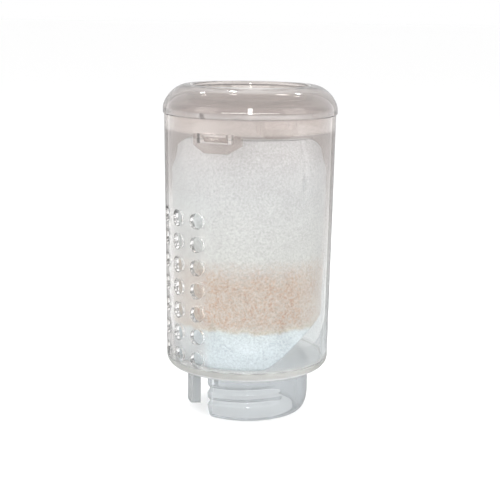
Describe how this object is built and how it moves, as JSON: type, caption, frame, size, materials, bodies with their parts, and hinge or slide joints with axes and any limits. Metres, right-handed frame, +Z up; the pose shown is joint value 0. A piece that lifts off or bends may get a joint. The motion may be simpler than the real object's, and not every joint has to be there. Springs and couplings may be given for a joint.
{
  "type": "limescale filter cartridge",
  "caption": "Clear cylindrical cup with side inlet holes, a slotted threaded neck and a snap-in lid, holding a sealed fleece bag of softening resin.",
  "frame": {"origin": "centre of the neck's flat lower end, which the cartridge stands on", "axes": "+Z up along the cup's axis; the front, with one latch left of the middle, faces -Y; the inlet holes and the neck's tongue face -X"},
  "size_m": [0.065, 0.065, 0.1237],
  "materials": {
    "cup_plastic": "clear moulded styrene, glossy",
    "lid_plastic": "clear moulded styrene, glossy",
    "fleece": "white nonwoven fleece, heat sealed"
  },
  "bodies": {
    "root": {"cup": "cup_plastic", "lid": "lid_plastic", "resin_bag": "fleece"}
  },
  "joints": []
}
